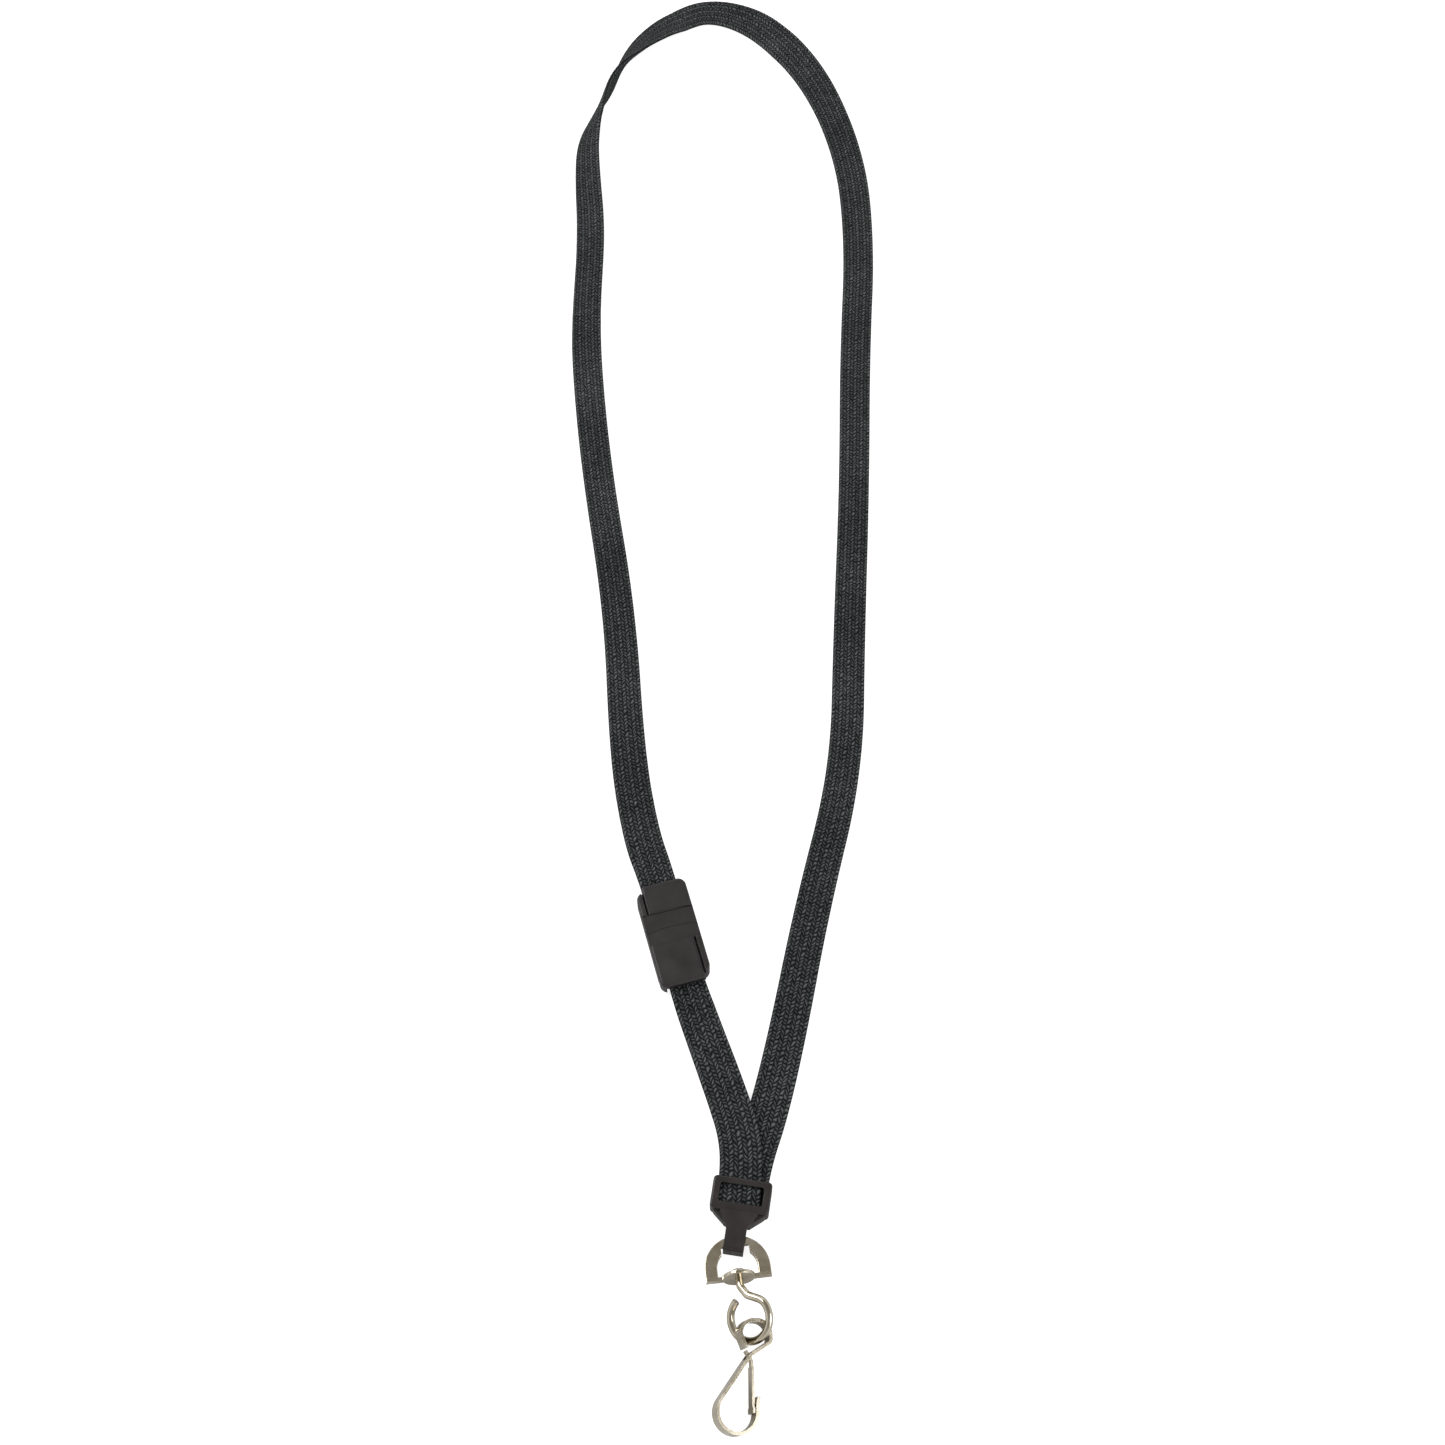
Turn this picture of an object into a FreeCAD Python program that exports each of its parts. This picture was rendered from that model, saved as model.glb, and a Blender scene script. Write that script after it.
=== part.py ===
"""A flat braided neck lanyard with a safety release, a plastic crimp, a swivel and a wire-formed snap hook.

Millimetres. The lanyard lies flat on a surface at z = 0. The origin is the centre of the crimp's back face,
+Z points up from the surface and +Y runs from the hook end towards the far end of the neck loop.
"""
import math
import os

import FreeCAD
import Part

V = FreeCAD.Vector
UP = V(0, 0, 1)

# Braid
BRAID_WIDTH = 9.5
BRAID_THICKNESS = 1.8
FLOOR_GAP = 0.05
FLAT_Z = BRAID_THICKNESS / 2 + FLOOR_GAP
CORNER_SHARE = 0.45  # share of the shorter run that a corner's arc uses

# Crimp
CRIMP_TURN = -8.7  # degrees about Z
CRIMP_HALF_WIDTH = 7.4
CRIMP_LOW = -5.3
CRIMP_HIGH = 3.1
CRIMP_TOP = 5.6
BACK_THICKNESS = 1.1
CRIMP_WALL = 1.45
WINDOW_HALF_WIDTH = 5.5
WINDOW_LOW = -3.4
WINDOW_HIGH = 1.4
CRIMP_CEILING = 4.85
TAIL_WIDTH = 5.0
TAIL_THICKNESS = 0.8
LOOP_OUTER = 2.75
LOOP_BORE = 2.0
LOOP_CORNER = 1.0
LOOP_Y = -12.4
TAIL_TOP = 5.5
SHOULDER_TOP = 4.3
LONG_END_Z = 2.1
SHORT_END_Z = 3.93

# Safety release
RELEASE_TURN = 15.6
RELEASE_CENTRE = V(-17.95, 70.1, 0)
RELEASE_HALF_LENGTH = 15.0
RELEASE_HALF_WIDTH = 7.0
RELEASE_TOP = 5.2
RELEASE_SEAM = 1.3
RELEASE_GAP = 0.1
CHANNEL_HALF_WIDTH = 5.1
CHANNEL_LOW = 1.2
CHANNEL_HIGH = 3.7
RELEASE_STRAP_Z = (CHANNEL_LOW + CHANNEL_HIGH) / 2
UPPER_FLAP_LEVEL = 6.4
LOWER_FLAP_LEVEL = 2.8
UPPER_CHANNEL_START = 9.0
LOWER_CHANNEL_START = 2.6
TONGUE_HALF_WIDTH = 3.6
TONGUE_REACH = 6.6
TONGUE_LOW = 1.6
TONGUE_HIGH = 3.3
TONGUE_CLEARANCE = 0.06

# Swivel
BAR_CENTRE = V(-1.9, -12.3, LOOP_OUTER)
FRAME_TURN = 7.0
FRAME_TILT = 6.8
BAND_WIDTH = 3.1
BAND_THICKNESS = 1.2
FRAME_RADIUS = 8.1
FRAME_REACH = 9.1
BAR_INSIDE = 1.0  # reach of the band's inner edge from its middle, where the crimp's loop hides it
BAR_OUTSIDE = 1.1
BOSS_RADIUS = 4.05
BOSS_RISE = 0.6
WIRE_RADIUS = 0.95
STEM_CLEARANCE = 0.05
RING_RADIUS = 5.35
RING_CENTRE = V(1.8, -31.0, 4.2)
RING_SLOPE_X = 0.6
RING_SLOPE_Y = 0.28

# Snap hook
STRIP_WIDTH = 3.9
STRIP_THICKNESS = 0.8
HOOK_EYE = V(2.7, -35.3, 3.75)
HOOK_ROLL = 17.0
HOOK_PITCH = 5.0
EYE_RADIUS = 3.75
BIGHT_RADIUS = 4.9
BIGHT_CENTRE = (-4.6, -17.4)
SLOT_HALF = 1.1
GATE_THICKNESS = 0.6

# Each route point is a place of the braid's middle.
LONG_ROUTE = [
    (0.57, -3.53, LONG_END_Z),
    (2.15, 7.0, LONG_END_Z),
    (7.0, 21.5, FLAT_Z),
    (12.4, 44.0, FLAT_Z),
    (19.3, 79.0, FLAT_Z),
    (29.6, 121.0, FLAT_Z),
    (31.4, 166.0, FLAT_Z),
    (35.2, 220.0, FLAT_Z),
    (37.2, 272.0, FLAT_Z),
    (40.4, 318.0, FLAT_Z),
    (38.6, 358.0, FLAT_Z),
    (26.8, 396.0, FLAT_Z),
    (9.5, 421.5, FLAT_Z),
    (-11.0, 431.5, FLAT_Z),
    (-31.5, 417.5, FLAT_Z),
    (-45.5, 392.5, FLAT_Z),
    (-52.4, 358.0, FLAT_Z),
    (-48.4, 318.0, FLAT_Z),
    (-48.8, 276.0, FLAT_Z),
    (-43.2, 226.0, FLAT_Z),
    (-35.0, 174.0, FLAT_Z),
    (-30.6, 128.0, FLAT_Z),
    (-26.2, 99.5, FLAT_Z),
    (-22.6, 86.9, RELEASE_STRAP_Z),
    (-20.8, 80.4, RELEASE_STRAP_Z),
]
SHORT_ROUTE = [
    (-1.41, -3.23, SHORT_END_Z),
    (0.1, 6.8, SHORT_END_Z),
    (-0.7, 15.5, SHORT_END_Z),
    (-3.2, 24.0, 2.85),
    (-6.2, 33.0, 2.3),
    (-10.1, 44.0, RELEASE_STRAP_Z),
    (-13.4, 53.7, RELEASE_STRAP_Z),
    (-15.0, 59.4, RELEASE_STRAP_Z),
]


def flat(point):
    """The point moved down to z = 0."""
    return V(point[0], point[1], 0)


def section(centre, along):
    """The braid's rectangular section about a point, square to a level direction."""
    half_side = UP.cross(along).normalize() * (BRAID_WIDTH / 2)
    half_up = UP * (BRAID_THICKNESS / 2)
    corners = [
        centre + half_side + half_up,
        centre - half_side + half_up,
        centre - half_side - half_up,
        centre + half_side - half_up,
    ]
    return Part.makePolygon(corners + corners[:1])


def braid(name, route):
    """A flat braid: level arcs at the route's corners, and straight runs between them that may rise."""
    points = [flat(p) for p in route]
    runs = [b - a for a, b in zip(points, points[1:])]
    reach = [0.0] * len(points)
    turns = [0.0] * len(points)
    for i in range(1, len(points) - 1):
        turns[i] = runs[i - 1].getAngle(runs[i])
        reach[i] = CORNER_SHARE * min(runs[i - 1].Length, runs[i].Length)
    solids = []
    length = 0.0
    radii = []
    for i in range(len(runs)):
        along = V(runs[i]).normalize()
        start = points[i] + along * reach[i] + UP * route[i][2]
        end = points[i + 1] - along * reach[i + 1] + UP * route[i + 1][2]
        wires = [section(start, along), section(end, along)]
        solids.append(Part.makeLoft(wires, True, True))
        length += (end - start).Length
        if i + 1 < len(runs):
            radius = reach[i + 1] / math.tan(turns[i + 1] / 2)
            bend = runs[i].cross(runs[i + 1]).z
            sign = 1.0 if bend > 0 else -1.0
            centre = end + UP.cross(along).normalize() * (sign * radius)
            face = Part.Face(section(end, along))
            solids.append(face.revolve(centre, UP * sign, math.degrees(turns[i + 1])))
            length += radius * turns[i + 1]
            radii.append(round(radius, 1))
    shape = solids[0].multiFuse(solids[1:])
    expected = BRAID_WIDTH * BRAID_THICKNESS * length
    print(name, "length", round(length, 1), "radii", radii)
    print(name, "volume", round(shape.Volume), "section x length", round(expected), "valid", shape.isValid())
    return shape.Solids[0]


def box(low, high):
    """A box from its lowest corner to its highest."""
    return Part.makeBox(high[0] - low[0], high[1] - low[1], high[2] - low[2], V(*low))


def outline(points, radii):
    """A closed level wire through corner points, each rounded by its radius."""
    count = len(points)
    corners = [V(p[0], p[1], 0) for p in points]
    starts = []
    ends = []
    middles = []
    for i in range(count):
        to_last = (corners[i - 1] - corners[i]).normalize()
        to_next = (corners[(i + 1) % count] - corners[i]).normalize()
        half = to_last.getAngle(to_next) / 2
        reach = radii[i] / math.tan(half)
        starts.append(corners[i] + to_last * reach)
        ends.append(corners[i] + to_next * reach)
        inward = (to_last + to_next).normalize()
        middles.append(corners[i] + inward * (radii[i] / math.sin(half) - radii[i]))
    edges = []
    for i in range(count):
        if radii[i] > 0:
            edges.append(Part.Arc(starts[i], middles[i], ends[i]).toShape())
        following = starts[(i + 1) % count]
        if (following - ends[i]).Length > 1e-6:
            edges.append(Part.LineSegment(ends[i], following).toShape())
    return Part.Wire(edges)


def plate(points, radii, low, high):
    """A level plate with rounded corners between two heights."""
    face = Part.Face(outline(points, radii))
    face.translate(V(0, 0, low))
    return face.extrude(V(0, 0, high - low))


def soften(shape, radius, chosen):
    """The shape with the chosen edges rounded."""
    edges = [e for e in shape.Edges if chosen(e)]
    return shape.makeFillet(radius, edges)


def whole_at_height(edge, height):
    """True for an edge that lies at one height."""
    return abs(edge.BoundBox.ZMin - height) < 1e-4 and abs(edge.BoundBox.ZMax - height) < 1e-4


def placed(shape, turn, centre):
    """A copy of the shape turned about Z and moved."""
    copy = shape.copy()
    copy.Placement = FreeCAD.Placement(centre, FreeCAD.Rotation(UP, turn)) * copy.Placement
    return copy


def strip_path(corners, radii, thickness, width):
    """A bent flat strip standing on its edge. Its middle line runs through the corners, rounded by the radii."""
    points = [V(c[0], c[1], 0) for c in corners]
    low = -width / 2
    solids = []
    start = points[0]
    for i in range(1, len(points)):
        along = (points[i] - points[i - 1]).normalize()
        turn = 0.0
        if i < len(points) - 1:
            after = (points[i + 1] - points[i]).normalize()
            turn = along.getAngle(after)
        reach = radii[i] * math.tan(turn / 2)
        end = points[i] - along * reach
        side = UP.cross(along).normalize() * (thickness / 2)
        ring = [start + side, start - side, end - side, end + side, start + side]
        if (end - start).Length > 1e-4:
            face = Part.Face(Part.makePolygon([p + UP * low for p in ring]))
            solids.append(face.extrude(UP * width))
        start = end
        if turn > 0:
            sign = 1.0 if along.cross(after).z > 0 else -1.0
            centre = end + UP.cross(along).normalize() * (sign * radii[i])
            corners_here = [end + side, end - side, end - side + UP * width, end + side + UP * width]
            wall = Part.Face(Part.makePolygon([p + UP * low for p in corners_here + corners_here[:1]]))
            solids.append(wall.revolve(centre, UP * sign, math.degrees(turn)))
            start = points[i] + after * reach
    return solids[0].multiFuse(solids[1:]).removeSplitter().Solids[0]


def rod(points, radii, radius):
    """Round wire along straight runs joined by tangent arcs."""
    solids = []
    start = points[0]
    for i in range(1, len(points)):
        along = (points[i] - points[i - 1]).normalize()
        turn = 0.0
        if i < len(points) - 1:
            after = (points[i + 1] - points[i]).normalize()
            turn = along.getAngle(after)
        reach = radii[i] * math.tan(turn / 2)
        end = points[i] - along * reach
        if (end - start).Length > 1e-4:
            solids.append(Part.makeCylinder(radius, (end - start).Length, start, along))
        if turn > 0:
            axis = along.cross(after).normalize()
            centre = end + axis.cross(along) * radii[i]
            disc = Part.Face(Part.Wire(Part.makeCircle(radius, end, along)))
            solids.append(disc.revolve(centre, axis, math.degrees(turn)))
        start = points[i] + (after * reach if turn > 0 else V())
    return solids[0].multiFuse(solids[1:]).removeSplitter().Solids[0]


def crimp_back_plate():
    """The flat back of the crimp."""
    w = CRIMP_HALF_WIDTH - 0.2
    low = CRIMP_LOW
    high = CRIMP_HIGH
    shape = plate([(-w, low), (w, low), (w, high), (-w, high)], [2.0, 2.0, 1.0, 1.0], 0, BACK_THICKNESS)
    shape = soften(shape, 0.4, lambda e: whole_at_height(e, 0))
    return placed(shape, CRIMP_TURN, V())


def crimp_front_frame():
    """The window frame over the braid ends, its tapered tail and the loop that holds the swivel."""
    w = CRIMP_HALF_WIDTH
    low = CRIMP_LOW
    high = CRIMP_HIGH
    neck = TAIL_WIDTH / 2
    outline = [(-w, low), (w, low), (w, high), (-w, high)]
    body = plate(outline, [1.0, 1.0, 1.1, 1.1], BACK_THICKNESS, CRIMP_TOP)
    body = soften(body, 0.55, lambda e: whole_at_height(e, CRIMP_TOP))
    # The shoulders narrow in a hollow curve below the tongue's height.
    shoulders = [(-neck, -10.4), (neck, -10.4), (neck, -8.9), (w - 1.0, -5.6), (w, -4.0), (-w, -4.0)]
    shoulders += [(-w + 1.0, -5.6), (-neck, -8.9)]
    taper = plate(shoulders, [0, 0, 3.2, 1.4, 0, 0, 1.4, 3.2], BACK_THICKNESS, SHOULDER_TOP)
    taper = soften(taper, 0.35,
                   lambda e: whole_at_height(e, SHOULDER_TOP) and -10.0 < e.CenterOfMass.y < -4.5)
    tongue = [(-neck, LOOP_Y), (neck, LOOP_Y), (neck, -9.4), (w - 2.6, -5.2), (w - 2.6, -4.0)]
    tongue += [(-w + 2.6, -4.0), (-w + 2.6, -5.2), (-neck, -9.4)]
    ridge = plate(tongue, [0, 0, 4.0, 0.6, 0, 0, 0.6, 4.0], BACK_THICKNESS + 0.1, TAIL_TOP)
    body = body.fuse(taper).fuse(ridge)
    inner = w - CRIMP_WALL
    body = body.cut(box((-inner, WINDOW_LOW - 0.6, 0), (inner, high + 1, CRIMP_CEILING)))
    window = plate(
        [(-WINDOW_HALF_WIDTH, WINDOW_LOW), (WINDOW_HALF_WIDTH, WINDOW_LOW),
         (WINDOW_HALF_WIDTH, WINDOW_HIGH), (-WINDOW_HALF_WIDTH, WINDOW_HIGH)],
        [0.6] * 4, 0, CRIMP_TOP + 1)
    body = body.cut(window)
    # Under the tail there is room for the swivel's band.
    body = body.cut(box((-w - 1, LOOP_Y - 1, 0), (w + 1, -8.4, TAIL_TOP - TAIL_THICKNESS)))
    loop = box((-neck, LOOP_Y - LOOP_OUTER, 0), (neck, LOOP_Y + LOOP_OUTER, TAIL_TOP))
    loop = soften(loop, LOOP_CORNER,
                  lambda e: abs(e.Length - TAIL_WIDTH) < 1e-4 and e.CenterOfMass.y < LOOP_Y)
    back = box((-neck, LOOP_Y, 0), (neck, low - 0.1, TAIL_THICKNESS))
    shape = body.fuse(loop).fuse(back)
    shape = shape.cut(Part.makeCylinder(LOOP_BORE, 20, V(-10, LOOP_Y, LOOP_OUTER), V(1, 0, 0)))
    passage = box((-10, LOOP_Y, LOOP_OUTER - LOOP_BORE), (10, -8.4, LOOP_OUTER + LOOP_BORE))
    shape = shape.cut(passage)
    shape = shape.cut(placed(crimp_back_plate(), -CRIMP_TURN, V()))
    return placed(shape.removeSplitter().Solids[0], CRIMP_TURN, V())


def release_slab(low, high, radii):
    """A slab of the release between two lengths, with its corners rounded."""
    w = RELEASE_HALF_WIDTH
    return plate([(-w, low), (w, low), (w, high), (-w, high)], radii, 0, RELEASE_TOP)


def seam_tool(level):
    """Everything above a gently curved seam across the release."""
    w = RELEASE_HALF_WIDTH + 2
    left = V(-w, level - 0.9, -1)
    right = V(w, level - 0.9, -1)
    arc = Part.Arc(left, V(0, level + 0.35, -1), right).toShape()
    far = [right, V(w, level + 40, -1), V(-w, level + 40, -1), left]
    sides = [Part.LineSegment(a, b).toShape() for a, b in zip(far, far[1:])]
    face = Part.Face(Part.Wire([arc] + sides))
    return face.extrude(V(0, 0, RELEASE_TOP + 4))


def flap_shape(end, level, gap):
    """The clamp flap of a half: a plate over the braid that wraps the right-hand side."""
    w = RELEASE_HALF_WIDTH
    top = plate([(-CHANNEL_HALF_WIDTH, -6), (w, -6), (w, end), (-CHANNEL_HALF_WIDTH, end)],
                [0, 0, 2.2, 0.3], 0, RELEASE_TOP)
    top = soften(top, 0.7, lambda e: whole_at_height(e, RELEASE_TOP) and e.CenterOfMass.y > 0)
    top = top.common(seam_tool(level + gap))
    hollow = box((-w, -7, -1), (w - CRIMP_WALL, end + 1, CHANNEL_HIGH))
    skirt = box((-w, -7, -1), (w + 1, end + 1, CHANNEL_LOW + 0.1))
    return top.cut(hollow).cut(skirt)


def release_base(is_upper):
    """One half of the release, in the upper half's own position."""
    w = RELEASE_HALF_WIDTH
    end = RELEASE_HALF_LENGTH - 1.6
    flap_level = UPPER_FLAP_LEVEL if is_upper else LOWER_FLAP_LEVEL
    channel_start = UPPER_CHANNEL_START if is_upper else LOWER_CHANNEL_START
    slab = release_slab(-8, end, [0, 0, 2.6, 2.4])
    slab = soften(slab, 0.6, lambda e: whole_at_height(e, RELEASE_TOP) and e.CenterOfMass.y > -7)
    slab = soften(slab, 0.4, lambda e: whole_at_height(e, 0) and e.CenterOfMass.y > -7)
    slab = slab.cut(box((-w - 1, -9, RELEASE_TOP - 0.35), (w + 1, flap_level, RELEASE_TOP + 1)))
    slab = slab.cut(box((-CHANNEL_HALF_WIDTH, channel_start, CHANNEL_LOW),
                        (CHANNEL_HALF_WIDTH, end + 3, CHANNEL_HIGH)))
    room = flap_shape(RELEASE_HALF_LENGTH, flap_level, 0)
    grown = room.fuse(box((-CHANNEL_HALF_WIDTH - 0.35, flap_level, CHANNEL_HIGH - 0.02),
                          (-CHANNEL_HALF_WIDTH + 0.5, end + 3, RELEASE_TOP + 1)))
    slab = slab.cut(grown)
    slab = slab.cut(box((CHANNEL_HALF_WIDTH - 0.6, flap_level, CHANNEL_LOW),
                        (w + 1, end + 3, RELEASE_TOP + 1)))
    return slab


def release_half(is_upper):
    """Base and flap of one half, each placed in the row's frame."""
    turn = RELEASE_TURN if is_upper else RELEASE_TURN + 180
    level = UPPER_FLAP_LEVEL if is_upper else LOWER_FLAP_LEVEL
    base = release_base(is_upper)
    flap = flap_shape(RELEASE_HALF_LENGTH, level, 0.05)
    flap = flap.cut(box((-20, -20, -1), (20, level - 1.5, 20)))
    tongue_room = TONGUE_CLEARANCE if is_upper else 0.0
    tongue = box(
        (-TONGUE_HALF_WIDTH - tongue_room, RELEASE_SEAM - 3, TONGUE_LOW - tongue_room),
        (TONGUE_HALF_WIDTH + tongue_room, RELEASE_SEAM + TONGUE_REACH + tongue_room,
         TONGUE_HIGH + tongue_room))
    tongue = soften(tongue, 0.5, lambda e: abs(e.BoundBox.YMin - e.BoundBox.YMax) < 1e-4
                    and e.BoundBox.YMax > RELEASE_SEAM + 2)
    if is_upper:
        base = base.common(seam_tool(RELEASE_SEAM + RELEASE_GAP)).cut(tongue)
    else:
        below_seam = box((-20, -20, -5), (20, 20, 20)).cut(seam_tool(RELEASE_SEAM))
        base = base.common(placed(below_seam, 180, V()))
        base = base.fuse(placed(tongue, 180, V()))
    base = base.removeSplitter()
    return placed(base, turn, RELEASE_CENTRE), placed(flap, turn, RELEASE_CENTRE)


def swivel_frame_placement():
    """The swivel frame's own place: its bar at the crimp's loop, turned, and tilted up at the boss."""
    turned = FreeCAD.Rotation(UP, FRAME_TURN)
    tilted = FreeCAD.Rotation(V(1, 0, 0), -FRAME_TILT)
    return FreeCAD.Placement(BAR_CENTRE, turned.multiply(tilted))


def swivel_frame():
    """A stamped D-shaped band with a round boss across its open side. Local -Y runs to the boss."""
    half = BAND_THICKNESS / 2
    outer = FRAME_RADIUS
    inner = FRAME_RADIUS - BAND_WIDTH
    middle = -(outer - BAND_WIDTH / 2)
    band = Part.makeCylinder(outer, BAND_THICKNESS, V(0, middle, -half))
    band = band.cut(box((-outer - 1, middle - outer - 1, -half - 1), (outer + 1, middle, half + 1)))
    band = band.fuse(box((-outer, -FRAME_REACH - 0.45, -half), (outer, middle, half))).removeSplitter()
    band = band.cut(Part.makeCylinder(inner, BAND_THICKNESS + 1, V(0, middle, -half - 0.5)))
    band = band.cut(box((-inner, -FRAME_REACH - 2, -half - 1), (inner, middle, half + 1)))
    band = soften(band, 0.22, lambda e: abs(e.BoundBox.ZMax - e.BoundBox.ZMin) < 1e-4
                  and e.CenterOfMass.y > -FRAME_REACH)
    # The bar inside the crimp's loop is narrower, so that it can turn there.
    room = TAIL_WIDTH / 2 + 1.0
    band = band.cut(box((-room, -4, -2), (room, -BAR_INSIDE, 2)))
    band = band.cut(box((-room, BAR_OUTSIDE, -2), (room, 4, 2)))
    boss_y = -FRAME_REACH
    boss = Part.makeCylinder(BOSS_RADIUS, 1.0, V(0, boss_y - 0.5, BOSS_RISE), V(0, 1, 0))
    boss = soften(boss, 0.3, lambda e: isinstance(e.Curve, Part.Circle))
    neck = [V(-outer + 0.2, 0, -half), V(outer - 0.2, 0, -half), V(outer - 0.2, 0, half + 0.7)]
    neck += [V(BOSS_RADIUS + 0.4, 0, half + 0.25), V(-BOSS_RADIUS - 0.4, 0, half + 0.25)]
    neck += [V(-outer + 0.2, 0, half + 0.7)]
    face = Part.Face(Part.makePolygon(neck + neck[:1]))
    bridge = face.extrude(V(0, 0.9, 0))
    bridge.translate(V(0, boss_y - 0.45, 0))
    shape = band.fuse(bridge).fuse(boss)
    hole = Part.makeCylinder(WIRE_RADIUS + STEM_CLEARANCE, 6, V(0, boss_y - 3, BOSS_RISE), V(0, 1, 0))
    shape = shape.cut(hole).removeSplitter().Solids[0]
    shape.Placement = swivel_frame_placement()
    return shape


def ring_point(angle, radius):
    """A point of the eye's tilted plane."""
    normal = V(-RING_SLOPE_X, -RING_SLOPE_Y, 1).normalize()
    ahead = V(0, 1, RING_SLOPE_Y).normalize()
    right = ahead.cross(normal).normalize()
    turn = math.radians(angle)
    return RING_CENTRE + right * (radius * math.cos(turn)) + ahead * (radius * math.sin(turn))


def swivel_eye():
    """Round wire: an upset head inside the swivel frame, a stem through its boss and an open ring."""
    place = swivel_frame_placement()
    head_y = -FRAME_REACH + 0.5
    head_centre = place.multVec(V(0, head_y + 0.15, BOSS_RISE))
    out = place.Rotation.multVec(V(0, -1, 0))
    stem_end = place.multVec(V(0, -FRAME_REACH - 2.3, BOSS_RISE))
    corner = RING_RADIUS / math.cos(math.radians(22.5))
    ring = [ring_point(a, corner) for a in range(45, -181, -45)]
    ring.append(ring_point(-212.5, RING_RADIUS / math.cos(math.radians(10))))
    first = ring_point(98, RING_RADIUS * 1.02)
    last = ring_point(-225, RING_RADIUS * 1.001)
    points = [head_centre, stem_end, first] + ring + [last]
    radii = [0, 2.2, 1.5] + [RING_RADIUS] * len(ring) + [0]
    radii[3] = 3.6
    wire = rod(points, radii, WIRE_RADIUS)
    head = Part.makeCylinder(1.75, 1.1, head_centre, out * -1)
    head = soften(head, 0.45, lambda e: isinstance(e.Curve, Part.Circle))
    return wire.fuse(head).removeSplitter().Solids[0]


def hook_placement():
    """The hook's own place: its eye on the ring, rolled to the right, with the eye raised."""
    rolled = FreeCAD.Rotation(V(0, 1, 0), HOOK_ROLL)
    pitched = FreeCAD.Rotation(V(1, 0, 0), HOOK_PITCH)
    return FreeCAD.Placement(HOOK_EYE, pitched.multiply(rolled))


def snap_hook():
    """One flat spring strip: eye, crossing with its slot, long leg, round bight and tip."""
    reach = BIGHT_RADIUS / math.cos(math.radians(36))
    bight = []
    for angle in (180, 252, 324):
        turn = math.radians(angle)
        bight.append((BIGHT_CENTRE[0] + reach * math.cos(turn), BIGHT_CENTRE[1] + reach * math.sin(turn)))
    corners = [(-2.35, -2.9), (-3.75, 0.4), (-EYE_RADIUS, EYE_RADIUS), (EYE_RADIUS, EYE_RADIUS)]
    corners += [(3.75, -1.2), (-1.3, -4.4)] + bight + [(0.3, -15.6), (0.65, -13.9)]
    radii = [0, 2.5, EYE_RADIUS - 0.35, EYE_RADIUS - 0.35, 1.2, 2.0, BIGHT_RADIUS, BIGHT_RADIUS, BIGHT_RADIUS, 2.0, 0]
    strip = strip_path(corners, radii, STRIP_THICKNESS, STRIP_WIDTH)
    slot = box((-2.6, -5.6, -SLOT_HALF), (0.7, -3.2, SLOT_HALF))
    strip = strip.cut(slot)
    strip = strip.removeSplitter().Solids[0]
    strip.Placement = hook_placement()
    return strip


def snap_gate():
    """The spring leg that closes the hook's mouth: a narrow neck through the slot and a T-shaped free end."""
    leg = strip_path([(-2.2, -3.35), (-0.75, -5.6), (-0.62, -17.6)], [0, 2.0, 0], GATE_THICKNESS, STRIP_WIDTH)
    narrow = SLOT_HALF - 0.25
    for side in (1, -1):
        low = narrow if side > 0 else -STRIP_WIDTH
        high = STRIP_WIDTH if side > 0 else -narrow
        leg = leg.cut(box((-4, -7.0, low), (4, -2, high)))
        shoulder_low = 1.45 if side > 0 else -STRIP_WIDTH
        shoulder_high = STRIP_WIDTH if side > 0 else -1.45
        leg = leg.cut(box((-4, -16.3, shoulder_low), (4, -7, shoulder_high)))
    leg = leg.removeSplitter().Solids[0]
    leg.Placement = hook_placement()
    return leg


def main():
    """Build every piece and write its file."""
    os.makedirs("parts", exist_ok=True)
    upper_base, upper_flap = release_half(True)
    lower_base, lower_flap = release_half(False)
    pieces = {
        "long_strap": braid("long_strap", LONG_ROUTE),
        "short_strap": braid("short_strap", SHORT_ROUTE),
        "breakaway_upper_base": upper_base,
        "breakaway_upper_flap": upper_flap,
        "breakaway_lower_base": lower_base,
        "breakaway_lower_flap": lower_flap,
        "crimp_front_frame": crimp_front_frame(),
        "crimp_back_plate": crimp_back_plate(),
        "swivel_frame": swivel_frame(),
        "swivel_eye": swivel_eye(),
        "snap_hook": snap_hook(),
        "snap_gate": snap_gate(),
    }
    for name, shape in pieces.items():
        shape.exportStep("parts/" + name + ".step")


main()
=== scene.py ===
"""A flat braided breakaway lanyard lying on a pale table.

Metres, in the row's frame: +Z up, +Y to the loop's far end.
"""

import math

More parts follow.
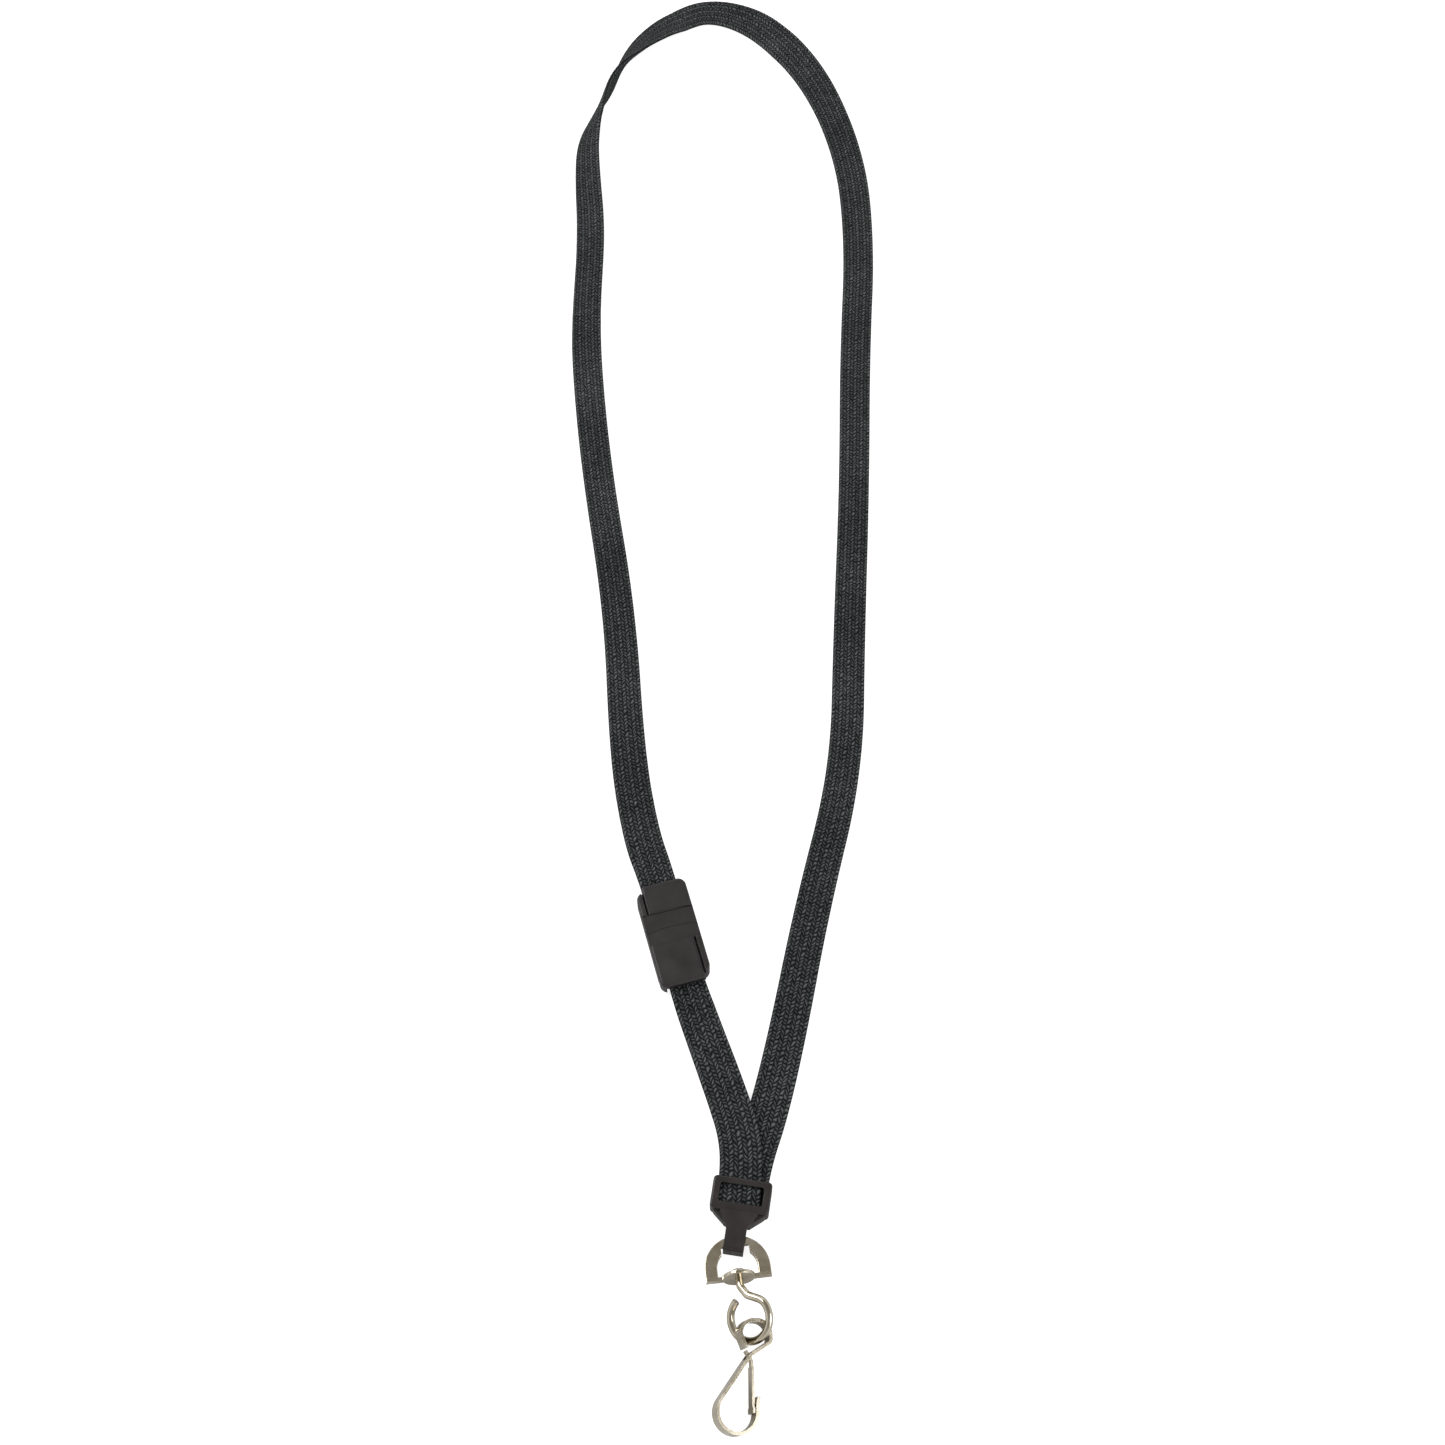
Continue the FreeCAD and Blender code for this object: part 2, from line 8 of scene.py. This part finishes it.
import bpy
import numpy as np
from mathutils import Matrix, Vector


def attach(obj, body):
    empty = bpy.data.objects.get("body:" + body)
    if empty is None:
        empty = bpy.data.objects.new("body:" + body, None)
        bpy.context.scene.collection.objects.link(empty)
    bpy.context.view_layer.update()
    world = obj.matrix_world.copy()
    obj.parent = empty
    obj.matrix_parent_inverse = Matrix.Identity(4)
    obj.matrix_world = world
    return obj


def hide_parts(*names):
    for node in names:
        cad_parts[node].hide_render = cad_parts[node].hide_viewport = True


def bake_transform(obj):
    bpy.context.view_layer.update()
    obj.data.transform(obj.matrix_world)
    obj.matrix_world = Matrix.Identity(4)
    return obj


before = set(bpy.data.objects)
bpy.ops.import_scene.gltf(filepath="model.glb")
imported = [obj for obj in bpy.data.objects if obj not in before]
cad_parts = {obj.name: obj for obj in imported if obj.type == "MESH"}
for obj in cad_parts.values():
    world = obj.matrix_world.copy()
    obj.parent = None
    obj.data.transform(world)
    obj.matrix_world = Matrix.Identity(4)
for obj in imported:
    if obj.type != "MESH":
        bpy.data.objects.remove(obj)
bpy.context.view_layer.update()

MM = 0.001

# Camera: looks down from the hook end. The lens and the angle are chosen, not measured.
LENS_MM = 50.0
SENSOR_MM = 36.0
TARGET = Vector((-4.8, 137.2, 0.0)) * MM
DISTANCE = 571.4 * MM
ELEVATION = math.radians(60.0)

# Braid
WIDTH = 9.5
THICKNESS = 1.8
STEP = 0.325  # spacing of the mesh's rows along the braid
STITCH = 1.2  # one stitch along the braid
COLUMN = 1.056  # half a chevron across the braid
SLANT = 0.95  # how far a stitch runs along the braid while it crosses half a chevron
RELIEF = 0.22
# Unevenness of the stitches: its size, and its turns along and across the braid.
WOBBLES = [(0.26, 0.83, 1.7), (0.17, 1.91, -2.3), (0.30, 0.21, 0.9)]
STITCH_ROUNDNESS = 0.85  # below 1, a stitch is flatter on its crown
LANE_ROUNDNESS = 0.5  # the same across a column
LANE_BASE = 0.3  # height left in the furrow between two columns
EVERY_OTHER_DARKER = 0.15
EDGE_ROUNDNESS = 7  # power of the rounding of the braid's edges
EDGE_INSET = 0.985  # outermost column of points, as a share of half the width
EASE = 8.0  # reach of the smoothing of the braid's turn
TOP_POINTS = 21
UNDER_POINTS = 11

FLOOR_GAP = 0.05
FLOOR_HALF = 12.0  # metres
FLOOR_DROP = 0.02  # under the lowest faces, so that none share its plane
FLOOR_GREY = 0.62
FLOOR_GLOW = 0.8
FLAT_Z = THICKNESS / 2 + FLOOR_GAP
LONG_END_Z = 2.1
SHORT_END_Z = 3.93
RELEASE_Z = 2.45

# Each point of a route is x, y, z in mm and the turn of the braid's section about its run, in degrees.
LONG_ROUTE = [
    (0.57, -3.53, LONG_END_Z, 0),
    (2.15, 7.0, LONG_END_Z, 0),
    (7.0, 21.5, FLAT_Z, 0),
    (12.4, 44.0, FLAT_Z, 0),
    (19.4, 79.0, FLAT_Z, 0),
    (30.0, 121.0, FLAT_Z, 0),
    (32.1, 166.0, FLAT_Z, 0),
    (35.4, 220.0, FLAT_Z, 0),
    (37.3, 272.0, FLAT_Z, 0),
    (40.4, 318.0, FLAT_Z, 0),
    (38.6, 358.0, FLAT_Z, -3),
    (27.2, 396.0, FLAT_Z, -13),
    (9.2, 421.0, FLAT_Z, -18),
    (-8.5, 430.2, FLAT_Z, -7),
    (-21.8, 424.4, FLAT_Z, 0),
    (-31.4, 414.2, FLAT_Z, 18),
    (-37.9, 402.2, FLAT_Z, 46),
    (-41.2, 393.6, FLAT_Z, 76),
    (-43.8, 386.6, FLAT_Z, 84),
    (-46.9, 377.6, FLAT_Z, 66),
    (-50.6, 363.5, FLAT_Z, 40),
    (-50.2, 348.0, FLAT_Z, 32),
    (-48.0, 322.0, FLAT_Z, 15),
    (-48.6, 290.0, FLAT_Z, 12),
    (-47.9, 268.0, FLAT_Z, 0),
    (-43.4, 226.0, FLAT_Z, 0),
    (-34.9, 174.0, FLAT_Z, 0),
    (-31.6, 126.0, FLAT_Z, 0),
    (-27.3, 101.0, FLAT_Z, 0),
    (-22.6, 86.9, RELEASE_Z, 0),
    (-20.8, 80.4, RELEASE_Z, 0),
]
SHORT_ROUTE = [
    (-0.85, -3.3, SHORT_END_Z, 0),
    (0.1, 6.8, SHORT_END_Z, 0),
    (-0.7, 15.5, SHORT_END_Z, 0),
    (-3.2, 24.0, 2.85, 0),
    (-6.2, 33.0, 2.3, 0),
    (-10.1, 44.0, RELEASE_Z, 0),
    (-13.4, 53.7, RELEASE_Z, 0),
    (-15.0, 59.4, RELEASE_Z, 0),
]

# Each width is a place along the braid and its width there, in mm.
LONG_WIDTHS = [
    (0.0, 10.2), (25.0, 10.2), (60.0, 9.8), (126.0, 9.3), (226.0, 9.2), (325.0, 9.8),
    (385.0, 10.3), (422.0, 11.4), (455.0, 10.4), (477.0, 10.0), (542.0, 9.9), (592.0, 9.4),
    (680.0, 9.3), (733.0, 9.5), (780.0, 10.1), (807.0, 10.3), (824.0, 9.6),
]
SHORT_WIDTHS = [(0.0, 11.0), (10.0, 10.7), (35.0, 10.6), (54.0, 10.2), (64.0, 9.6)]

# Each crease is its place along the braid, its reach, its rise and the length of one fold, in mm.
LONG_CREASES = [
    (66.0, 5.0, 0.3, 7.0), (120.0, 11.0, 0.35, 9.0), (286.0, 6.0, 0.4, 8.0),
    (612.0, 6.0, 0.4, 8.0), (790.0, 8.0, 0.35, 7.0),
]
SHORT_CREASES = [(2.2, 1.6, 0.4, 100.0)]  # the braid swells into the crimp's window


# ---------------------------------------------------------------- materials

def node_tree(name):
    """A new node material, its tree and its Principled node."""
    material = bpy.data.materials.new(name)
    material.use_nodes = True
    tree = material.node_tree
    return material, tree, tree.nodes["Principled BSDF"]


def math_node(tree, operation, first, second=None):
    """A Math node fed by sockets or numbers."""
    node = tree.nodes.new("ShaderNodeMath")
    node.operation = operation
    for socket, value in zip(node.inputs, (first, second)):
        if value is None:
            continue
        if isinstance(value, (int, float)):
            socket.default_value = value
        else:
            tree.links.new(value, socket)
    return node.outputs[0]


def ramp(tree, factor, stops):
    """A colour ramp with the given stops."""
    node = tree.nodes.new("ShaderNodeValToRGB")
    elements = node.color_ramp.elements
    while len(elements) < len(stops):
        elements.new(0.5)
    for element, (place, colour) in zip(elements, stops):
        element.position = place
        element.color = (*colour, 1.0)
    tree.links.new(factor, node.inputs["Fac"])
    return node.outputs["Color"]


def noise(tree, coordinates, scale, detail=3.0, roughness=0.55):
    """A noise texture's value."""
    node = tree.nodes.new("ShaderNodeTexNoise")
    node.inputs["Scale"].default_value = scale
    node.inputs["Detail"].default_value = detail
    node.inputs["Roughness"].default_value = roughness
    tree.links.new(coordinates, node.inputs["Vector"])
    return node.outputs["Fac"]


def braid_material():
    """Charcoal polyester braid: chevron stitches with painted highlights on their crowns and painted shade
    between them, with filaments.
    """
    material, tree, shader = node_tree("braid_charcoal")
    links = tree.links

    def op(operation, first, second=None):
        return math_node(tree, operation, first, second)

    place = tree.nodes.new("ShaderNodeUVMap")
    place.uv_map = "braid"
    split = tree.nodes.new("ShaderNodeSeparateXYZ")
    links.new(place.outputs["UV"], split.inputs[0])
    along, across = split.outputs[0], split.outputs[1]
    lane = op("ADD", op("DIVIDE", across, COLUMN), 0.5)
    pair = op("FLOORED_MODULO", lane, 2.0)
    odd = op("GREATER_THAN", pair, 1.0)
    folded = op("SUBTRACT", 1.0, op("ABSOLUTE", op("SUBTRACT", pair, 1.0)))
    run = op("ADD", along, op("MULTIPLY", folded, SLANT))
    for size, per_along, per_across in WOBBLES:
        angle = op("ADD", op("MULTIPLY", along, per_along),
                          op("MULTIPLY", across, per_across))
        run = op("ADD", run, op("MULTIPLY", op("SINE", angle), size))
    phase = op("ADD", op("DIVIDE", run, STITCH), op("MULTIPLY", odd, 0.5))
    crown = op("ABSOLUTE", op("SINE", op("MULTIPLY", phase, math.pi)))
    crown = op("POWER", op("MAXIMUM", crown, 0.0001), STITCH_ROUNDNESS)
    ridge = op("ABSOLUTE", op("SINE", op("MULTIPLY", lane, math.pi)))
    ridge = op("POWER", op("MAXIMUM", ridge, 0.0001), LANE_ROUNDNESS)
    ridge = op("ADD", op("MULTIPLY", ridge, 1.0 - LANE_BASE), LANE_BASE)
    height = op("MULTIPLY", crown, ridge)
    dimmed = op("SUBTRACT", 1.0, op("MULTIPLY", odd, EVERY_OTHER_DARKER))
    # The colour follows this relief: painted highlights on the stitch crowns and painted shade in the furrows
    # between stitches and columns, dimmed on every other column.
    painted_relief_shade = op("MULTIPLY", height, dimmed)
    # Filaments run along each stitch.
    filament = op("SINE", op("MULTIPLY", phase, 2 * math.pi * 5))
    object_place = tree.nodes.new("ShaderNodeTexCoord").outputs["Object"]
    fuzz = noise(tree, object_place, 2600.0)
    patch = noise(tree, object_place, 38.0, 2.0)
    stitch_tone = noise(tree, object_place, 520.0, 2.0)
    tone = op("ADD", op("MULTIPLY", painted_relief_shade, 0.88), op("MULTIPLY", fuzz, 0.14))
    tone = op("ADD", tone, op("MULTIPLY", filament, 0.035))
    tone = op("ADD", tone, op("MULTIPLY", op("SUBTRACT", patch, 0.5), 0.35))
    tone = op("ADD", tone, op("MULTIPLY", op("SUBTRACT", stitch_tone, 0.5), 0.5))
    colour = ramp(tree, tone, [
        (0.15, (0.0020, 0.0026, 0.0030)),
        (0.42, (0.0110, 0.0130, 0.0140)),
        (0.66, (0.0390, 0.0430, 0.0455)),
        (0.95, (0.1180, 0.1260, 0.1300)),
    ])
    links.new(colour, shader.inputs["Base Color"])
    shader.inputs["Roughness"].default_value = 0.75
    shader.inputs["Specular IOR Level"].default_value = 0.10
    shader.inputs["Sheen Weight"].default_value = 0.02
    shader.inputs["Sheen Roughness"].default_value = 0.5
    bump_height = op("ADD", height, op("MULTIPLY", filament, 0.06))
    bump_height = op("ADD", bump_height, op("MULTIPLY", fuzz, 0.25))
    bump = tree.nodes.new("ShaderNodeBump")
    bump.inputs["Strength"].default_value = 0.9
    bump.inputs["Distance"].default_value = 0.28 * MM
    links.new(bump_height, bump.inputs["Height"])
    links.new(bump.outputs["Normal"], shader.inputs["Normal"])
    return material


def plastic_material(name, dark, light, roughness, edge_radius):
    """Satin moulded plastic with a faint mould grain and softened edges."""
    material, tree, shader = node_tree(name)
    place = tree.nodes.new("ShaderNodeTexCoord").outputs["Object"]
    cloud = noise(tree, place, 160.0, 4.0)
    grain = noise(tree, place, 5200.0, 2.0)
    links = tree.links
    links.new(ramp(tree, cloud, [(0.3, dark), (0.7, light)]), shader.inputs["Base Color"])
    rough = math_node(tree, "ADD", math_node(tree, "MULTIPLY", cloud, 0.16), roughness - 0.08)
    links.new(rough, shader.inputs["Roughness"])
    shader.inputs["Specular IOR Level"].default_value = 0.45
    bevel = tree.nodes.new("ShaderNodeBevel")
    bevel.samples = 6
    bevel.inputs["Radius"].default_value = edge_radius * MM
    bump = tree.nodes.new("ShaderNodeBump")
    bump.inputs["Strength"].default_value = 0.25
    bump.inputs["Distance"].default_value = 0.03 * MM
    links.new(grain, bump.inputs["Height"])
    links.new(bevel.outputs["Normal"], bump.inputs["Normal"])
    links.new(bump.outputs["Normal"], shader.inputs["Normal"])
    return material


def nickel_material():
    """Bright nickel plate: warm grey, with faint tumbling marks and duller patches."""
    material, tree, shader = node_tree("nickel_plate")
    place = tree.nodes.new("ShaderNodeTexCoord").outputs["Object"]
    links = tree.links
    patch = noise(tree, place, 240.0, 4.0)
    scratch = noise(tree, place, 3600.0, 3.0)
    tint = ramp(tree, patch, [(0.3, (0.47, 0.415, 0.31)), (0.72, (0.68, 0.63, 0.53))])
    links.new(tint, shader.inputs["Base Color"])
    shader.inputs["Metallic"].default_value = 1.0
    rough = math_node(tree, "ADD", math_node(tree, "MULTIPLY", patch, 0.14), 0.05)
    links.new(rough, shader.inputs["Roughness"])
    bevel = tree.nodes.new("ShaderNodeBevel")
    bevel.samples = 6
    bevel.inputs["Radius"].default_value = 0.07 * MM
    bump = tree.nodes.new("ShaderNodeBump")
    bump.inputs["Strength"].default_value = 0.2
    bump.inputs["Distance"].default_value = 0.02 * MM
    links.new(scratch, bump.inputs["Height"])
    links.new(bevel.outputs["Normal"], bump.inputs["Normal"])
    links.new(bump.outputs["Normal"], shader.inputs["Normal"])
    return material


# ---------------------------------------------------------------- braid

def route_line(route):
    """Points along the smooth line of a route, read from its NURBS spline, in metres."""
    curve = bpy.data.curves.new("route", "CURVE")
    curve.dimensions = "3D"
    curve.resolution_u = 24
    spline = curve.splines.new("NURBS")
    spline.points.add(len(route) - 1)
    for point, place in zip(spline.points, route):
        point.co = (place[0] * MM, place[1] * MM, place[2] * MM, 1.0)
    spline.order_u = 3
    spline.use_endpoint_u = True
    holder = bpy.data.objects.new("route", curve)
    bpy.context.scene.collection.objects.link(holder)
    line_mesh = bpy.data.meshes.new_from_object(holder)
    line = np.array([v.co for v in line_mesh.vertices])
    bpy.data.objects.remove(holder)
    bpy.data.curves.remove(curve)
    bpy.data.meshes.remove(line_mesh)
    return line


def evenly(line, step):
    """The line's points spaced evenly, and how far along it each is."""
    gaps = np.linalg.norm(np.diff(line, axis=0), axis=1)
    along = np.concatenate([[0.0], np.cumsum(gaps)])
    places = np.linspace(0.0, along[-1], int(along[-1] / step) + 2)
    return np.stack([np.interp(places, along, line[:, k]) for k in range(3)], axis=1), places


def eased(places, marks, values):
    """Values from mark to mark, with the corners at the marks smoothed out over EASE to each side."""
    count = max(1, int(EASE * MM / (places[1] - places[0])))
    straight = np.pad(np.interp(places, marks, values), count, mode="edge")
    weights = np.hanning(2 * count + 1)
    return np.convolve(straight, weights / weights.sum(), mode="valid")


def stitch_height(along, across):
    """The braid's relief, from 0 between stitches to 1 on their crowns, for places in mm."""
    pair = (across / COLUMN + 0.5) % 2.0
    run = along + (1.0 - np.abs(pair - 1.0)) * SLANT
    for size, per_along, per_across in WOBBLES:
        run = run + size * np.sin(along * per_along + across * per_across)
    crown = np.abs(np.sin((run / STITCH + 0.5 * (pair > 1.0)) * math.pi)) ** STITCH_ROUNDNESS
    lane = np.abs(np.sin(pair * math.pi)) ** LANE_ROUNDNESS
    return crown * (LANE_BASE + (1.0 - LANE_BASE) * lane)


def braid_piece(name, route, widths, creases):
    """A flat braid that follows a route: a closed ribbon with stitches in relief, and the line it follows."""
    line, places = evenly(route_line(route), STEP * MM)
    marks = [places[np.argmin(np.linalg.norm(line - np.array(p[:3]) * MM, axis=1))] for p in route]
    roll = np.radians(eased(places, marks, [p[3] for p in route]))
    tangent = np.gradient(line, axis=0)
    level = tangent * (1.0, 1.0, 0.0)
    level /= np.linalg.norm(level, axis=1)[:, None]
    tangent /= np.linalg.norm(tangent, axis=1)[:, None]
    side = np.stack([-level[:, 1], level[:, 0], np.zeros(len(line))], axis=1)
    up = np.cross(tangent, side)
    turned_side = side * np.cos(roll)[:, None] + up * np.sin(roll)[:, None]
    turned_up = up * np.cos(roll)[:, None] - side * np.sin(roll)[:, None]
    half_width = np.interp(places / MM, [w[0] for w in widths], [w[1] for w in widths]) / 2
    needed = half_width * np.abs(np.sin(roll)) + THICKNESS / 2 * np.cos(roll) + FLOOR_GAP
    line[:, 2] = np.maximum(line[:, 2], needed * MM)
    for centre, reach, rise, pitch in creases:
        from_centre = places / MM - centre
        fold = 0.5 + 0.5 * np.cos(2.0 * math.pi * from_centre / pitch)
        line[:, 2] += np.exp(-((from_centre / reach) ** 2)) * fold * rise * MM

    across = np.concatenate([
        np.linspace(-1.0, 1.0, TOP_POINTS) * EDGE_INSET,
        [1.0],
        np.linspace(1.0, -1.0, UNDER_POINTS) * EDGE_INSET,
        [-1.0],
    ])
    above = np.concatenate([np.ones(TOP_POINTS), [0.0], -np.ones(UNDER_POINTS), [0.0]])
    crown = np.sqrt(np.clip(1.0 - np.abs(across) ** EDGE_ROUNDNESS, 0.0, 1.0))
    count = len(across)
    relief = stitch_height(places[:, None] / MM, across[None, :] * WIDTH / 2)
    lift = (THICKNESS / 2 - RELIEF + relief * RELIEF) * crown[None, :] * above[None, :]
    spread = across[None, :] * half_width[:, None]
    points = (line[:, None, :] + turned_side[:, None, :] * (spread * MM)[:, :, None]
              + turned_up[:, None, :] * (lift * MM)[:, :, None])
    rows = len(line)
    points = points.reshape(-1, 3)
    index = np.arange(rows * count).reshape(rows, count)
    after = np.roll(index, -1, axis=1)
    quads = np.stack([index[:-1], index[1:], after[1:], after[:-1]], axis=2).reshape(-1, 4)
    mesh = bpy.data.meshes.new(name)
    caps = [tuple(int(i) for i in index[0]), tuple(int(i) for i in index[-1][::-1])]
    mesh.from_pydata(points.tolist(), [], quads.tolist() + caps)
    add_braid_places(mesh, places, across, count)
    mesh.polygons.foreach_set("use_smooth", [True] * len(mesh.polygons))
    mesh.update()
    piece = bpy.data.objects.new(name, mesh)
    bpy.context.scene.collection.objects.link(piece)
    path = line[:: max(1, int(2.0 / STEP))].tolist()
    path.append(line[-1].tolist())
    return piece, path, float(places[-1])


def add_braid_places(mesh, places, across, count):
    """A UV map in mm: how far along the braid, and how far across it."""
    layer = mesh.uv_layers.new(name="braid")
    corner_vertex = np.zeros(len(mesh.loops), dtype=np.int64)
    mesh.loops.foreach_get("vertex_index", corner_vertex)
    row, column = corner_vertex // count, corner_vertex % count
    values = np.stack([places[row] / MM, across[column] * WIDTH / 2], axis=1)
    layer.data.foreach_set("uv", values.ravel())


# ---------------------------------------------------------------- stage

def make_camera():
    """The camera on the hook's side, looking down at the middle of the lanyard."""
    data = bpy.data.cameras.new("camera")
    data.lens = LENS_MM
    data.sensor_width = SENSOR_MM
    data.clip_start = 0.01
    camera = bpy.data.objects.new("camera", data)
    back = Vector((0.0, -math.cos(ELEVATION), math.sin(ELEVATION)))
    camera.location = TARGET + back * DISTANCE
    camera.rotation_euler = (-back).to_track_quat("-Z", "Y").to_euler()
    bpy.context.scene.collection.objects.link(camera)
    bpy.context.scene.camera = camera


def make_floor():
    """A wide pale floor."""
    half, level = FLOOR_HALF, -FLOOR_DROP * MM
    corners = [(-half, -half, level), (half, -half, level), (half, half, level), (-half, half, level)]
    mesh = bpy.data.meshes.new("floor")
    mesh.from_pydata(corners, [], [(0, 1, 2, 3)])
    floor = bpy.data.objects.new("floor", mesh)
    bpy.context.scene.collection.objects.link(floor)
    material, tree, shader = node_tree("floor_white")
    shader.inputs["Base Color"].default_value = (FLOOR_GREY, FLOOR_GREY, FLOOR_GREY, 1.0)
    shader.inputs["Roughness"].default_value = 0.9
    shader.inputs["Specular IOR Level"].default_value = 0.0
    shader.inputs["Emission Color"].default_value = (1.0, 1.0, 1.0, 1.0)
    # The table looks white, yet the bright metal mirrors a softer grey.
    seen = tree.nodes.new("ShaderNodeLightPath").outputs["Is Camera Ray"]
    tree.links.new(math_node(tree, "MULTIPLY", seen, FLOOR_GLOW), shader.inputs["Emission Strength"])
    mesh.materials.append(material)


def area_light(name, place, size, power):
    """A soft square lamp aimed at the middle of the lanyard."""
    data = bpy.data.lights.new(name, "AREA")
    data.shape = "SQUARE"
    data.size = size
    data.energy = power
    lamp = bpy.data.objects.new(name, data)
    lamp.location = place
    aim = Vector((0.0, 0.15, 0.0)) - Vector(place)
    lamp.rotation_euler = aim.to_track_quat("-Z", "Y").to_euler()
    bpy.context.scene.collection.objects.link(lamp)


def make_light():
    """A bright surround, darker overhead so that metal shows tone, and soft lamps from the sides."""
    world = bpy.data.worlds.new("surround")
    world.use_nodes = True
    tree = world.node_tree
    background = tree.nodes["Background"]
    direction = tree.nodes.new("ShaderNodeTexCoord").outputs["Generated"]
    split = tree.nodes.new("ShaderNodeSeparateXYZ")
    tree.links.new(direction, split.inputs[0])
    height = math_node(tree, "MULTIPLY", math_node(tree, "ADD", split.outputs[2], 1.0), 0.5)
    sky = ramp(tree, height, [
        (0.50, (1.0, 1.0, 1.0)),
        (0.72, (0.85, 0.85, 0.85)),
        (0.86, (0.40, 0.385, 0.36)),
        (1.00, (0.30, 0.285, 0.26)),
    ])
    tree.links.new(sky, background.inputs["Color"])
    background.inputs["Strength"].default_value = 1.0
    bpy.context.scene.world = world
    area_light("key", (-0.7, 0.5, 0.9), size=0.5, power=6.2)
    area_light("fill", (0.7, -0.3, 0.7), size=0.6, power=4.2)
    area_light("back", (0.1, 1.3, 0.7), size=0.6, power=0.8)


# ---------------------------------------------------------------- assembly

make_camera()
make_light()
make_floor()

braid_look = braid_material()
release_look = plastic_material(
    "release_plastic", (0.0130, 0.0108, 0.0116), (0.0240, 0.0198, 0.0212), roughness=0.40, edge_radius=0.22)
crimp_look = plastic_material(
    "crimp_plastic", (0.0130, 0.0108, 0.0108), (0.0255, 0.0210, 0.0210), roughness=0.38, edge_radius=0.22)
nickel_look = nickel_material()

UPPER_RELEASE = ["breakaway_upper_base", "breakaway_upper_flap"]
LOWER_RELEASE = ["breakaway_lower_base", "breakaway_lower_flap"]
LOOKS = {name: release_look for name in UPPER_RELEASE + LOWER_RELEASE}
LOOKS.update({"crimp_front_frame": crimp_look, "crimp_back_plate": crimp_look})
METAL = ["swivel_frame", "swivel_eye", "snap_hook", "snap_gate"]
LOOKS.update({name: nickel_look for name in METAL})
for node, look in LOOKS.items():
    cad_object = bpy.data.objects[node]
    if not cad_object.material_slots:
        cad_object.data.materials.append(look)
    for material_slot in cad_object.material_slots:
        material_slot.material = look

long_piece, long_path, long_length = braid_piece(
    "long_braid", LONG_ROUTE,
    widths=LONG_WIDTHS, creases=LONG_CREASES)
long_piece.data.materials.append(braid_look)
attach(long_piece, "root")
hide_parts("long_strap")

short_piece, short_path, short_length = braid_piece(
    "short_braid", SHORT_ROUTE,
    widths=SHORT_WIDTHS, creases=SHORT_CREASES)
short_piece.data.materials.append(braid_look)
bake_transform(short_piece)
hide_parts("short_strap")

bpy.context.scene.view_settings.view_transform = "Standard"
